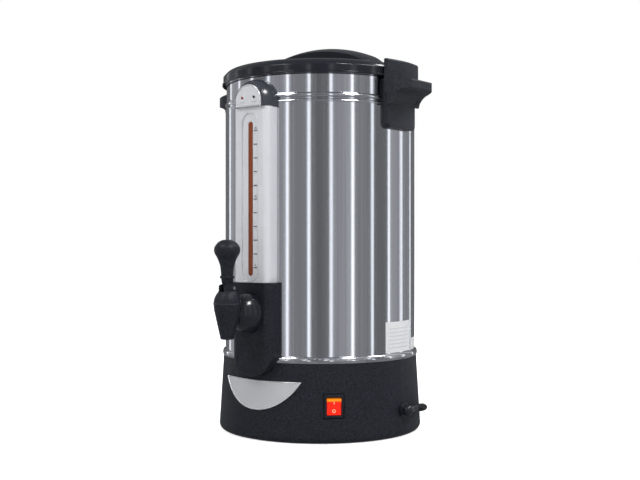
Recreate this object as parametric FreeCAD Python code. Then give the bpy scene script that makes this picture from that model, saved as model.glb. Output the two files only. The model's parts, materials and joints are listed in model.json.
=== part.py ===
import FreeCAD, Part
import math
import os

# Hot water urn: a 15 litre stainless drum on a plastic base, with a sight gauge, a lever tap,
# two side handles, a lift-off lid and a mains cord. Millimetres, +Z up, front towards -Y.
# The origin is on the drum's axis, at the level of the surface that the base stands on.

V = FreeCAD.Vector
UP = V(0, 0, 1)
X, Y = V(1, 0, 0), V(0, 1, 0)

# Drum
DRUM_R = 134.0
SHEET = 1.0
DRUM_BOTTOM, FLANGE_TOP = 103.6, 112.2
FLANGE_R = 137.5
BEAD_Z = 449.0
NECK_R = 132.6
RIM_Z, RIM_BEAD = 483.0, 1.6
FLOOR_Z = 112.0

# Base
BASE_FOOT_R, BASE_MAX_R, BASE_TOP_R = 134.7, 142.2, 136.3
BASE_CORNER = 7.5
BASE_WALL = 3.0
RIM_INNER_R = 127.0

# Lid
SKIRT_Z, SKIRT_R, LIP_R = 480.9, 137.3, 138.7
LID_SEAT_Z, LID_TOP = 484.9, 501.6
GRIP_HALF, GRIP_DEPTH, GRIP_TOP, GRIP_ARCH_R, GRIP_CROWN = 98.0, 44.0, 534.5, 235.0, 6.5

# Sight gauge
GAUGE_FACE = 151.0
GAUGE_HALF, GAUGE_FLAT_HALF = 29.5, 21.5
GAUGE_Z0, GAUGE_Z1 = 208.2, 438.2
SLOT_W, SLOT_Z0, SLOT_Z1 = 7.8, 216.9, 419.2
RELIEF_W, RELIEF_Z0, RELIEF_Z1, RELIEF_DEEP = 28.0, 208.8, 430.6, 1.6
TUBE_Y, TUBE_R = 142.6, 4.4
CAP_TOP_FRONT, CAP_TOP_BACK = 469.5, 476.0
LAMP_Z, LAMP_X, LAMP_R = 450.4, 10.0, 1.6

# Tap
SHROUD_Z0, SHROUD_Z1, SHROUD_HALF, SHROUD_FACE = 85.2, 208.2, 35.0, 151.4
TAP_Y, INLET_Z = 194.6, 169.0
SEAM_Z, OUTLET_Z = 182.8, 137.2
YOKE_HALF, YOKE_SLOT_HALF, YOKE_TOP = 5.2, 3.9, 209.6
PIN_Y, PIN_Z, PIN_R = 187.3, 202.5, 1.5
CAM_R = 4.0
STEM_R = 2.2

# Handles
HANDLE_HALF, BLOCK_HALF, PLATE_OUT, BLOCK_OUT = 32.5, 37.0, 142.5, 146.0
HANDLE_Z0, HANDLE_Z1, BLOCK_Z0 = 412.7, 503.5, 455.0
SHELF_OUT, SHELF_TIP_HALF = 170.0, 25.0

# Base fittings
BADGE_HALF, BADGE_TOP, BADGE_TIP, BADGE_THICK = 63.7, 79.5, 41.4, 1.2
SWITCH_ANGLE, SWITCH_Z, BEZEL_W, BEZEL_H = 45.0, 48.9, 25.5, 31.0
POCKET_Y = 137.2
ROCKER_Y, AXLE_R = 132.2, 1.5
GLAND_Z, CORD_R = 36.4, 3.3

# Cord coil on the floor behind the urn
COIL_AT = V(-122, 166, 0)
COIL_R, COIL_PITCH, COIL_TURNS = 44.0, 7.6, 5.0
LAYER_STEP = 7.1


def rz(r, z):
    return V(r, 0, z)


def plan(x, y):
    """A point of a plan outline, with y measured outwards to the front."""
    return V(x, -y, 0)


def front(x, z):
    """A point of an outline seen from the front."""
    return V(x, 0, z)


def side(y, z):
    """A point of an outline seen from the side, with y measured outwards to the front."""
    return V(0, -y, z)


def face(at, start, *steps):
    """A flat face: a step of two numbers is a line, a step of two points is an arc."""
    edges, here = [], start
    for step in steps + (start,):
        curved = isinstance(step[0], tuple)
        there = step[1] if curved else step
        a, b = at(*here), at(*there)
        if curved:
            edges.append(Part.Arc(a, at(*step[0]), b).toShape())
        elif a.distanceToPoint(b) > 1e-6:
            edges.append(Part.LineSegment(a, b).toShape())
        here = there
    return Part.Face(Part.Wire(edges))


def turned(*outline):
    """A solid turned about the drum's axis from a half section."""
    return face(rz, *outline).revolve(V(), UP, 360)


def raised(outline, z0, z1):
    shape = outline.extrude(V(0, 0, z1 - z0))
    shape.translate(V(0, 0, z0))
    return shape


def pushed(outline, y0, y1):
    """A front outline made into a solid from y0 to y1, measured outwards to the front."""
    shape = outline.extrude(V(0, y0 - y1, 0))
    shape.translate(V(0, -y0, 0))
    return shape


def rod(r, start, end):
    start, end = V(*start), V(*end)
    return Part.makeCylinder(r, start.distanceToPoint(end), start, end - start)


def block(x0, x1, y0, y1, z0, z1):
    return Part.makeBox(x1 - x0, y1 - y0, z1 - z0, V(x0, y0, z0))


def stadium(width, z0, z1):
    r = width / 2
    return face(front, (-r, z0 + r), ((0, z0), (r, z0 + r)), (r, z1 - r), ((0, z1), (-r, z1 - r)))


def mirrored(shape):
    return shape.mirror(V(), X)


def at_angle(shape, degrees):
    """The shape carried round the drum's axis, from the front towards +X."""
    copy = shape.copy()
    copy.rotate(V(), UP, degrees)
    return copy


def tap_turned(*outline):
    """A solid turned about the tap's upright axis."""
    shape = turned(*outline)
    shape.translate(V(0, -TAP_Y, 0))
    return shape


def base_r(z):
    """The base's outer radius at a height above its corner."""
    slope = (BASE_MAX_R - BASE_TOP_R) / (DRUM_BOTTOM - BASE_CORNER)
    return BASE_MAX_R - slope * (z - BASE_CORNER)


def base_core(offset=0.0):
    """Everything inside the base's outer surface, moved out by an offset."""
    corner = (BASE_FOOT_R + 5.3 + offset, 2.2)
    return turned(
        (0, 0), (BASE_FOOT_R, 0), (corner, (BASE_MAX_R + offset, BASE_CORNER)),
        (BASE_TOP_R + offset, DRUM_BOTTOM), (0, DRUM_BOTTOM))


def bead_outline():
    """The drum's outer line from its wall, over the bead, to its neck."""
    return [
        (DRUM_R, BEAD_Z - 5), ((DRUM_R + 0.7, BEAD_Z - 3.6), (DRUM_R, BEAD_Z - 2)),
        (DRUM_R - 1.4, BEAD_Z - 0.5), (DRUM_R - 1.4, BEAD_Z + 0.5),
        ((DRUM_R + 0.9, BEAD_Z + 3.6), (NECK_R, BEAD_Z + 7.4)), (NECK_R, RIM_Z)]


def drum_core():
    """Everything inside the drum's outer surface."""
    flange = [
        (FLANGE_R - 0.8, DRUM_BOTTOM), ((FLANGE_R, DRUM_BOTTOM + 2), (FLANGE_R, DRUM_BOTTOM + 4.4)),
        ((FLANGE_R - 1.2, FLANGE_TOP - 1), (DRUM_R, FLANGE_TOP))]
    core = turned((0, DRUM_BOTTOM), *flange, *bead_outline(), (0, RIM_Z))
    return core.fuse(Part.makeTorus(NECK_R + 0.6, RIM_BEAD, V(0, 0, RIM_Z)))


# Base

def base_shell():
    wall = BASE_WALL
    shell = base_core().cut(turned(
        (0, 4), (BASE_MAX_R - wall - 2, 4), (BASE_MAX_R - wall, 8),
        (BASE_TOP_R - wall, DRUM_BOTTOM - 3), (131, DRUM_BOTTOM - 3), (131, DRUM_BOTTOM + 1),
        (0, DRUM_BOTTOM + 1)))
    shell = shell.cut(turned((0, -1), (RIM_INNER_R, -1), (RIM_INNER_R, 1.6), (124, 1.6), (124, 5), (0, 5)))
    for k in range(4):
        post = rod(5, (0, -130, 3.5), (0, -130, 34)).fuse(block(-1.5, 1.5, -137.5, -131, 3.5, 34))
        shell = shell.fuse(at_angle(post, 20 + 90 * k))
    pocket = block(-13.6, 13.6, -160, -POCKET_Y, SWITCH_Z - 16.4, SWITCH_Z + 16.4)
    opening = block(-11, 11, -160, -120, SWITCH_Z - 14, SWITCH_Z + 14)
    backing = block(-16, 16, -POCKET_Y, -POCKET_Y + 2.5, SWITCH_Z - 19, SWITCH_Z + 19)
    shell = shell.fuse(at_angle(backing, SWITCH_ANGLE))
    shell = shell.cut(at_angle(pocket.fuse(opening), SWITCH_ANGLE))
    return shell.cut(rod(6, (120, 0, GLAND_Z), (160, 0, GLAND_Z)))


def base_plate():
    plate = Part.makeCylinder(RIM_INNER_R - 0.2, 1.2, V(0, 0, 0.4))
    slot = stadium(3, -12, 12)
    slot.rotate(V(), X, 90)
    for k in range(12):
        vent = raised(slot, -1, 4)
        vent.translate(V(0, -70, 0))
        plate = plate.cut(at_angle(vent, 30 * k))
    return plate


def badge_plate():
    outline = face(front, (-BADGE_HALF, BADGE_TOP), ((0, BADGE_TIP), (BADGE_HALF, BADGE_TOP)))
    skin = base_core(BADGE_THICK).cut(base_core())
    return skin.common(pushed(outline, 100, 160))


def switch_housing():
    half_w, half_h = BEZEL_W / 2, BEZEL_H / 2
    body = block(-10.8, 10.8, -POCKET_Y, -118, SWITCH_Z - 13.8, SWITCH_Z + 13.8)
    bezel = block(-half_w, half_w, -POCKET_Y - 3, -POCKET_Y, SWITCH_Z - half_h, SWITCH_Z + half_h)
    bezel = bezel.makeChamfer(0.9, [e for e in bezel.Edges if e.BoundBox.YMax < -POCKET_Y - 2])
    well = block(-9.7, 9.7, -POCKET_Y - 4, -POCKET_Y + 14, SWITCH_Z - 11.7, SWITCH_Z + 11.7)
    housing = body.fuse(bezel).cut(well)
    housing = housing.cut(rod(AXLE_R + 0.06, (-10.4, -ROCKER_Y, SWITCH_Z), (10.4, -ROCKER_Y, SWITCH_Z)))
    for x in (-5, 5):
        housing = housing.fuse(block(x - 0.4, x + 0.4, -118, -109, SWITCH_Z - 3, SWITCH_Z + 3))
    return at_angle(housing, SWITCH_ANGLE)


def switch_rocker():
    """The rocker: a shallow vee on a cross axle, resting on its lower half."""
    pivot, high, low = ROCKER_Y, SWITCH_Z + 10.3, SWITCH_Z - 10.3
    rocker = face(
        side, (pivot, low + 0.3), (pivot + 8.6, low), ((pivot + 6.9, SWITCH_Z), (pivot + 8.6, high)),
        (pivot, high - 0.3), (pivot - 5, SWITCH_Z + 4), (pivot - 5, SWITCH_Z - 4))
    solid = rocker.extrude(V(18.4, 0, 0))
    solid.translate(V(-9.2, 0, 0))
    solid = solid.fuse(rod(AXLE_R, (-10.3, -pivot, SWITCH_Z), (10.3, -pivot, SWITCH_Z)))
    solid.rotate(V(0, -pivot, SWITCH_Z), X, 7)
    return at_angle(solid, SWITCH_ANGLE)


# Cord, its gland and its plug

GLAND_OUT = 148.0
EXIT_TURN = 100.0
EXIT = V(math.cos(math.radians(EXIT_TURN)), math.sin(math.radians(EXIT_TURN)), 0)
CORD_START = V(GLAND_OUT, 0, GLAND_Z) + EXIT * 26


def cord_gland():
    knuckle = V(GLAND_OUT, 0, GLAND_Z)
    flange_x = math.sqrt(base_r(GLAND_Z) ** 2 - 100)
    flange = rod(10, (flange_x, 0, GLAND_Z), (flange_x + 3.4, 0, GLAND_Z)).cut(base_core())
    barrel = rod(5.9, (134, 0, GLAND_Z), (flange_x + 1, 0, GLAND_Z))
    nut = rod(9, (128, 0, GLAND_Z), (134, 0, GLAND_Z))
    neck = rod(7.2, (flange_x + 3, 0, GLAND_Z), tuple(knuckle))
    ball = Part.makeSphere(7.2, knuckle)
    sleeve = Part.makeCone(5.6, 4.2, 26, knuckle, EXIT)
    grooves = flange.fuse([barrel, nut, neck, ball, sleeve])
    for step in (14, 18, 22):
        ring = Part.makeCylinder(7, 1.2, knuckle + EXIT * step, EXIT)
        ring = ring.cut(Part.makeCylinder(3.9, 1.2, knuckle + EXIT * step, EXIT))
        grooves = grooves.cut(ring)
    return grooves.removeSplitter()


def bends(points):
    """Straight runs joined by tangent arcs, each as large as its two runs allow."""
    edges, here = [], points[0]
    for a, b, c in zip(points, points[1:], points[2:]):
        back, on = (a - b), (c - b)
        reach = 0.45 * min(back.Length, on.Length)
        back.normalize()
        on.normalize()
        half_turn = (math.pi - back.getAngle(on)) / 2
        radius = reach / math.tan(half_turn)
        bisector = (back + on).normalize()
        enter, leave = b + back * reach, b + on * reach
        middle = b + bisector * (radius / math.cos(half_turn) - radius)
        print(f"bend radius {radius:.1f}")
        edges.append(Part.LineSegment(here, enter).toShape())
        edges.append(Part.Arc(enter, middle, leave).toShape())
        here = leave
    edges.append(Part.LineSegment(here, points[-1]).toShape())
    return Part.Wire(edges)


def tube(path, heading):
    ring = Part.Wire(Part.Circle(path.OrderedVertexes[0].Point, heading, CORD_R).toShape())
    solid = path.makePipeShell([ring], True, False)
    expected = math.pi * CORD_R ** 2 * path.Length
    print(f"tube length {path.Length:.0f}, volume ratio {solid.Volume / expected:.4f}")
    return solid


def coil_point(turns):
    """A point of the wound cord: in along the floor, up in half a turn, out again on top."""
    middle = COIL_TURNS / 2
    r = COIL_R - COIL_PITCH * (middle - abs(turns - middle))
    climb = min(max((turns - middle + 0.25) / 0.5, 0), 1)
    angle = 2 * math.pi * (turns + 0.25)
    return COIL_AT + V(r * math.cos(angle), r * math.sin(angle), CORD_R + LAYER_STEP * climb)


def coil_heading(turns):
    step = 0.002
    return (coil_point(turns + step) - coil_point(turns - step)).normalize()


def arc_along(start, heading, end):
    """The arc that leaves start along a heading and arrives at end."""
    chord = end - start
    half = chord.getAngle(heading)
    side_way = heading - chord * (heading.dot(chord) / chord.dot(chord))
    middle = (start + end) * 0.5 + side_way.normalize() * (chord.Length / 2 * math.tan(half / 2))
    return Part.Arc(start, middle, end).toShape()


def biarc(start, heading, end, arrival):
    """Two arcs with one tangent where they meet."""
    chord, both = end - start, heading + arrival
    a = both.dot(both) - 4
    reach = (chord.dot(both) - math.sqrt(chord.dot(both) ** 2 - a * chord.dot(chord))) / a
    meet = ((start + heading * reach) + (end - arrival * reach)) * 0.5
    return [arc_along(start, heading, meet), arc_along(end, arrival * -1, meet)]


LEAD = 2 * CORD_R
COIL_IN = V(-1, 0, 0)
COIL_FIRST = COIL_AT + V(0, COIL_R, CORD_R)
COIL_LAST = COIL_FIRST + V(0, 0, LAYER_STEP)


def cord_coil():
    quarters = int(COIL_TURNS * 4)
    edges = [Part.LineSegment(COIL_FIRST - COIL_IN * LEAD, COIL_FIRST).toShape()]
    samples = []
    here, heading = COIL_FIRST, COIL_IN
    for k in range(1, quarters + 1):
        last = k == quarters
        there = COIL_LAST if last else coil_point(k / 4)
        arrival = COIL_IN if last else coil_heading(k / 4)
        pair = biarc(here, heading, there, arrival)
        edges += pair
        for n, edge in enumerate(pair):
            points = edge.discretize(8)
            nearer = points[0].distanceToPoint(here) < points[-1].distanceToPoint(here)
            samples += points if (nearer or n == 0) else points[::-1]
        here, heading = there, arrival
    edges.append(Part.LineSegment(COIL_LAST, COIL_LAST + COIL_IN * LEAD).toShape())
    apart = min(a.distanceToPoint(b) for i, a in enumerate(samples) for b in samples[i + 30:])
    print(f"coil: least gap to itself {apart - 2 * CORD_R:.2f}")
    path = Part.Wire(Part.__sortEdges__(edges))
    return tube(path, COIL_IN)


def cord_run():
    """The cord from its gland, round the base and down to the coil."""
    points = [
        CORD_START, CORD_START + EXIT * 24, V(124, 82, 33), V(100.5, 111, 25.5), V(69, 134, 17),
        V(32, 152, 9.5), V(-6, 166, 5), V(-40, 182, 3.5), V(-68, 200, 3.4), V(-92, 210, 3.3),
        COIL_FIRST - COIL_IN * LEAD]
    return tube(bends(points), EXIT)


PLUG_WAY = V(-24, -7, 0).normalize()
PLUG_BACK = V(-254, 194, 19.2)


def cord_tail():
    """The cord's last stretch, from the coil up into the plug."""
    points = [
        COIL_LAST + COIL_IN * LEAD, V(-153, 210, 10.6), V(-178, 207.5, 13), V(-203, 205, 16.5),
        PLUG_BACK - PLUG_WAY * 25, PLUG_BACK]
    return tube(bends(points), COIL_IN)


def plug_turned(*outline):
    """A solid turned about the plug's axis, from its cord end at zero."""
    shape = turned(*outline)
    shape.Placement = FreeCAD.Placement(PLUG_BACK, FreeCAD.Rotation(UP, PLUG_WAY))
    return shape


def plug_body():
    body = plug_turned(
        (0, 0), (4.2, 0), (5.6, 20), ((9, 24), (15.5, 27)), ((18.2, 30), (19, 36)), (19, 50), (18.4, 52),
        (0, 52))
    return body


def plug_pin(sideways):
    across = PLUG_WAY.cross(UP)
    root = PLUG_BACK + PLUG_WAY * 52 + across * sideways
    return Part.makeCylinder(2.4, 19, root, PLUG_WAY)


# Drum and what heats it

def tank_body():
    inner = turned(
        (0, DRUM_BOTTOM - 1), (DRUM_R - SHEET, DRUM_BOTTOM - 1), (DRUM_R - SHEET, BEAD_Z - 5),
        (DRUM_R - 2.6, BEAD_Z - 2), (DRUM_R - 2.6, BEAD_Z + 2), (NECK_R - SHEET, BEAD_Z + 8),
        (NECK_R - SHEET, RIM_Z + 3), (0, RIM_Z + 3))
    drum = drum_core().cut(inner)
    drum = drum.cut(rod(8.2, (0, -120, INLET_Z), (0, -140, INLET_Z)))
    return drum.cut(rod(4.6, (0, -120, 200), (0, -140, 200)))


def tank_floor():
    r = DRUM_R - SHEET
    return turned(
        (0, FLOOR_Z - 1.2), (r - 1.2, FLOOR_Z - 1.2), (r - 1.2, DRUM_BOTTOM + 1), (r, DRUM_BOTTOM + 1),
        (r, FLOOR_Z - 0.6), (r - 3, FLOOR_Z), (0, FLOOR_Z))


HEAT_TOP = FLOOR_Z - 1.2


def heat_plate():
    return turned((14, HEAT_TOP - 4), (78, HEAT_TOP - 4), (80, HEAT_TOP - 3), (80, HEAT_TOP), (14, HEAT_TOP))


def heating_element():
    """A tubular ring under the heat plate, with its two cold ends turned down."""
    minor, major, z = 4.2, 58.0, HEAT_TOP - 8.2
    ring = Part.makeTorus(major, minor, V(0, 0, z), UP, -180, 180, 330)
    ring.rotate(V(), UP, 15)
    for turn in (15, 345):
        a = math.radians(turn)
        foot = V(major * math.cos(a), major * math.sin(a), z)
        leg = Part.makeCylinder(minor, 22, foot - UP * 22)
        pin = Part.makeCylinder(1.4, 10, foot - UP * 30)
        ring = ring.fuse([leg, pin, Part.makeSphere(minor + 0.2, foot)])
    return ring.cut(heat_plate())


def thermostat(degrees):
    top = HEAT_TOP
    disc = turned((0, top - 9), (7.6, top - 9), (8.2, top - 8.4), (8.2, top), (0, top))
    disc = disc.fuse(block(-12, 12, -4, 4, top - 1.2, top))
    for x in (-4, 4):
        disc = disc.fuse(block(x - 0.4, x + 0.4, -3, 3, top - 17, top - 8))
    disc.translate(V(0, -100, 0))
    return at_angle(disc, degrees)


def terminal_block():
    body = block(40, 84, 40, 56, 1.6, 16)
    for x in (48, 58, 68, 78):
        body = body.cut(rod(2.6, (x, 30, 9), (x, 70, 9)))
    return body


# Sight gauge

def trim_plan(half, flat, out):
    return face(
        plan, (-half, 100), (-half, out - 7), ((-half + 2.6, out - 2.2), (-flat, out)), (flat, out),
        ((half - 2.6, out - 2.2), (half, out - 7)), (half, 100))


def gauge_trim():
    trim = raised(trim_plan(GAUGE_HALF, GAUGE_FLAT_HALF, GAUGE_FACE), GAUGE_Z0, GAUGE_Z1)
    trim = trim.cut(Part.makeCylinder(DRUM_R, 400, V(0, 0, 100)))
    trim = trim.cut(pushed(stadium(RELIEF_W, RELIEF_Z0, RELIEF_Z1), GAUGE_FACE - RELIEF_DEEP, 160))
    trim = trim.cut(rod(5.6, (0, -TUBE_Y, GAUGE_Z0), (0, -TUBE_Y, GAUGE_Z1)))
    return trim.cut(pushed(stadium(SLOT_W, SLOT_Z0, SLOT_Z1), TUBE_Y, 160))


TUBE_Z0, TUBE_Z1 = 206.0, 432.0


def sight_tube():
    outer = rod(TUBE_R, (0, -TUBE_Y, TUBE_Z0), (0, -TUBE_Y, TUBE_Z1))
    return outer.cut(rod(3.2, (0, -TUBE_Y, TUBE_Z0), (0, -TUBE_Y, TUBE_Z1)))


def level_strip():
    """The coloured strip that stands in the tube, behind the slot."""
    return rod(3.0, (0, -TUBE_Y, TUBE_Z0 + 4), (0, -TUBE_Y, TUBE_Z1 - 3))


def tube_elbow():
    """The rubber elbow that feeds the tube through the drum's wall."""
    upright = rod(6.4, (0, -TUBE_Y, 193), (0, -TUBE_Y, GAUGE_Z0))
    nipple = rod(4.4, (0, -TUBE_Y, 200), (0, -130, 200))
    collar = rod(7, (0, -128, 200), (0, -132.5, 200)).cut(
        Part.makeCylinder(DRUM_R, 30, V(0, 0, 185)).cut(Part.makeCylinder(DRUM_R - SHEET, 30, V(0, 0, 185))))
    elbow = upright.fuse(nipple).fuse(collar)
    elbow = elbow.cut(rod(TUBE_R, (0, -TUBE_Y, TUBE_Z0), (0, -TUBE_Y, 220)))
    elbow = elbow.cut(rod(2.4, (0, -TUBE_Y, 200), (0, -TUBE_Y, 220)))
    return elbow.cut(rod(2.4, (0, -TUBE_Y, 200), (0, -120, 200)))


def tube_cap():
    """The vented rubber stopper on the tube's upper end."""
    stopper = rod(5.4, (0, -TUBE_Y, TUBE_Z1 - 8), (0, -TUBE_Y, TUBE_Z1 + 3))
    stopper = stopper.cut(rod(TUBE_R, (0, -TUBE_Y, TUBE_Z1 - 8), (0, -TUBE_Y, TUBE_Z1)))
    return stopper.cut(rod(1, (0, -TUBE_Y, TUBE_Z1 - 8), (0, -TUBE_Y, TUBE_Z1 + 3)))


def dome_wire(half, straight_top, top, y):
    """The cap's outline at a distance from the axis: flat foot, upright sides, round top."""
    z0 = GAUGE_Z1
    return face(
        lambda x, z: V(x, -y, z), (-half, z0), (half, z0), (half, straight_top),
        ((0, top), (-half, straight_top))).OuterWire


def gauge_cap():
    sections = [dome_wire(30.5, 447, CAP_TOP_BACK, 120), dome_wire(30.5, 447, CAP_TOP_BACK, 134),
                dome_wire(29.2, 447, CAP_TOP_BACK - 1.2, 143), dome_wire(23.6, 446, CAP_TOP_FRONT, 153.6)]
    cap = Part.makeLoft(sections[:2], True, True).fuse(Part.makeLoft(sections[1:], True, False))
    cap = cap.cut(drum_core()).cut(Part.makeCylinder(NECK_R, 60, V(0, 0, 430)))
    hollow = raised(trim_plan(22, 16, GAUGE_FACE - 3), GAUGE_Z1 - 1, 458)
    return cap.cut(hollow)


def gauge_cap_plate():
    plate = Part.Face(dome_wire(21.7, 446, CAP_TOP_FRONT - 1.8, 153.6))
    plate = plate.extrude(V(0, -0.9, 0))
    for x in (-LAMP_X, LAMP_X):
        plate = plate.cut(rod(LAMP_R, (x, -150, LAMP_Z), (x, -160, LAMP_Z)))
    return plate


def lamp(x):
    lens = rod(LAMP_R, (x, -153.6, LAMP_Z), (x, -154.9, LAMP_Z))
    dome = Part.makeSphere(LAMP_R, V(x, -154.9, LAMP_Z))
    return lens.fuse(dome.common(block(x - 2, x + 2, -157, -154.9, LAMP_Z - 2, LAMP_Z + 2)))


# Tap

def tap_shroud():
    half = SHROUD_HALF
    outer = face(
        plan, (-half, 100), (-half, 137), ((-half + 3.2, 146.6), (-half + 11, SHROUD_FACE)),
        (half - 11, SHROUD_FACE), ((half - 3.2, 146.6), (half, 137)), (half, 100))
    inner = face(
        plan, (-half + 3, 100), (-half + 3, 138), (-half + 13, 148), (half - 13, 148), (half - 3, 138),
        (half - 3, 100))
    bottom = SHROUD_Z0 + half
    outline = face(
        front, (-half, SHROUD_Z1), (-half, bottom), ((0, SHROUD_Z0), (half, bottom)), (half, SHROUD_Z1))
    shroud = raised(outer, 60, 240).common(pushed(outline, 90, 170))
    rim = [
        e for e in shroud.Edges
        if e.BoundBox.YMax < -SHROUD_FACE + 0.01 and e.BoundBox.ZMax < SHROUD_Z1 - 1]
    shroud = shroud.makeFillet(3.0, rim)
    shroud = shroud.cut(raised(inner, FLANGE_TOP + 6, SHROUD_Z1 - 3))
    shroud = shroud.cut(base_core()).cut(drum_core())
    shroud = shroud.cut(rod(6.4, (0, -TUBE_Y, 190), (0, -TUBE_Y, 220)))
    return shroud.cut(rod(10, (0, -145, INLET_Z), (0, -160, INLET_Z)))


def tap_barrel():
    out = OUTLET_Z
    return tap_turned(
        (0, SEAM_Z), (17.5, SEAM_Z), (16.75, 175), (8.6, out + 0.8), (7.8, out), (0, out))


def tap_body():
    """The tapered barrel with its inlet neck, valve chamber, seat and outlet."""
    seam, out = SEAM_Z, OUTLET_Z
    neck = rod(10, (0, -155, INLET_Z), (0, -TAP_Y, INLET_Z))
    solid = tap_barrel().fuse(neck)
    chamber = tap_turned((0, 160), (12, 160), (12, seam + 1), (0, seam + 1))
    seat = tap_turned((0, 156), (4.5, 156), (4.5, 161), (0, 161))
    cone = tap_turned((0, out - 1), (6.2, out - 1), (6.2, out), (9.4, 157), (0, 157))
    inlet = rod(6, (0, -150, INLET_Z), (0, -TAP_Y, INLET_Z))
    thread = rod(8, (0, -150, INLET_Z), (0, -168, INLET_Z))
    return solid.cut(chamber.fuse([seat, cone, inlet, thread]))


def tap_nose():
    """The egg-shaped cover over the tap's neck."""
    egg = Part.makeSphere(1)
    stretch = FreeCAD.Matrix()
    stretch.scale(22.5, 32, 27)
    egg = egg.transformGeometry(stretch)
    egg.translate(V(0, -SHROUD_FACE, INLET_Z))
    egg = egg.cut(block(-40, 40, -SHROUD_FACE, -80, 100, 240))
    egg = egg.cut(rod(10, (0, -140, INLET_Z), (0, -200, INLET_Z)))
    return egg.cut(tap_barrel()).cut(tap_turned((0, SEAM_Z - 1), (17.5, SEAM_Z - 1), (17.5, 220), (0, 220)))


def tap_shank():
    pipe = rod(8, (0, -112, INLET_Z), (0, -168, INLET_Z))
    pipe = pipe.fuse(rod(9.9, (0, -134.4, INLET_Z), (0, -155, INLET_Z)))
    return pipe.cut(rod(6, (0, -110, INLET_Z), (0, -170, INLET_Z)))


def shank_nut():
    turns = [a * math.pi / 3 for a in range(7)]
    corners = [V(16 * math.cos(a), -120, INLET_Z + 16 * math.sin(a)) for a in turns]
    nut = Part.Face(Part.makePolygon(corners)).extrude(V(0, -7, 0))
    return nut.cut(rod(8, (0, -110, INLET_Z), (0, -140, INLET_Z)))


def shank_seal():
    ring = rod(14, (0, -127, INLET_Z), (0, -134, INLET_Z))
    ring = ring.common(Part.makeCylinder(DRUM_R - SHEET, 90, V(0, 0, 120)))
    return ring.cut(rod(8, (0, -110, INLET_Z), (0, -140, INLET_Z)))


def tap_bonnet():
    """The screwed cap of the tap, with the two cheeks that carry the lever's pin."""
    seam, top = SEAM_Z, 198.7
    cap = tap_turned(
        (0, seam - 4.8), (12, seam - 4.8), (12, seam), (17.5, seam), ((15.6, 191.4), (10.8, top)),
        (0, top))
    cheeks = face(
        side, (184.3, top - 3), (204.9, top - 3), (204.9, 205.5), ((203.5, 206.6), (200.5, 207.4)),
        (188, YOKE_TOP), (184.3, YOKE_TOP))
    cheeks = cheeks.extrude(V(2 * YOKE_HALF, 0, 0))
    cheeks.translate(V(-YOKE_HALF, 0, 0))
    slot = block(-YOKE_SLOT_HALF, YOKE_SLOT_HALF, -210, -175, 198.2, 215)
    toe_room = block(-YOKE_SLOT_HALF, YOKE_SLOT_HALF, -201, -188.4, 194.0, 199)
    bonnet = cap.fuse(cheeks).cut(slot).cut(toe_room)
    pocket = tap_turned((0, 186), (3.9, 186), (3.9, 199), (0, 199))
    bore = tap_turned((0, 170), (STEM_R + 0.08, 170), (STEM_R + 0.08, 190), (0, 190))
    hole = rod(PIN_R, (-9, -PIN_Y, PIN_Z), (9, -PIN_Y, PIN_Z))
    return bonnet.cut(pocket.fuse([bore, hole]))


def lever_pin():
    pin = rod(PIN_R, (-YOKE_HALF, -PIN_Y, PIN_Z), (YOKE_HALF + 0.5, -PIN_Y, PIN_Z))
    return pin.fuse(rod(2.1, (YOKE_HALF, -PIN_Y, PIN_Z), (YOKE_HALF + 0.8, -PIN_Y, PIN_Z)))


def tap_lever():
    """The lever: a cam toe on the pin, a flat tongue, and a round neck that swells to a knob."""
    knob = tap_turned(
        (0, 216), (7.4, 216), (7.9, 218), ((8.2, 224), (9.1, 231)), ((11.4, 238.2), (15.2, 245.5)),
        ((16.8, 251.6), (14.6, 257.6)), ((8.6, 262.9), (1, 264.3)), (0, 264.3))
    tongue = face(
        side, (PIN_Y - 3.6, PIN_Z), ((PIN_Y, PIN_Z - 3.6), (PIN_Y + 2, PIN_Z - 3.2)),
        (TAP_Y - 2.6, PIN_Z - CAM_R + 0.9), ((TAP_Y, PIN_Z - CAM_R), (TAP_Y + CAM_R, PIN_Z)),
        (TAP_Y + 7.2, 214), (TAP_Y + 7.2, 219), (TAP_Y - 7.2, 219), (TAP_Y - 7.4, 212))
    tongue = tongue.extrude(V(7.5, 0, 0))
    tongue.translate(V(-3.75, 0, 0))
    return knob.fuse(tongue).cut(rod(PIN_R + 0.05, (-9, -PIN_Y, PIN_Z), (9, -PIN_Y, PIN_Z)))


def valve_stem():
    return tap_turned(
        (0, 152.9), (STEM_R, 152.9), (STEM_R, 196.2), (3.4, 196.2), (3.4, 198), (3.1, 198.3), (0, 198.3))


def seat_cup():
    return tap_turned(
        (STEM_R, 153.2), (5.2, 153.2), ((6, 153.8), (6.2, 155)), (6.2, 156.5), (5.8, 156.9), (STEM_R, 156.9))


def tap_spring():
    """The valve's spring round the stem, wound as one open helix."""
    wire, mean = 0.4, 3.15
    height = 10.2 - 2 * wire
    helix = Part.makeHelix(height / 5, height, mean)
    ring = Part.Wire(Part.Circle(V(mean, 0, 0), Y, wire).toShape())
    spring = Part.Wire(helix.Edges).makePipeShell([ring], True, True)
    spring.translate(V(0, -TAP_Y, 186 + wire))
    return spring


# Handles

def rounded_column(half, corner, z0, z1):
    """A bar along X, seen from the handle's side, with rounded lower corners."""
    tuck = 0.29 * corner
    outline = face(
        lambda y, z: V(0, y, z), (-half, z1), (-half, z0 + corner),
        ((-half + tuck, z0 + tuck), (-half + corner, z0)), (half - corner, z0),
        ((half - tuck, z0 + tuck), (half, z0 + corner)), (half, z1))
    return outline.extrude(V(200, 0, 0))


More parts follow.
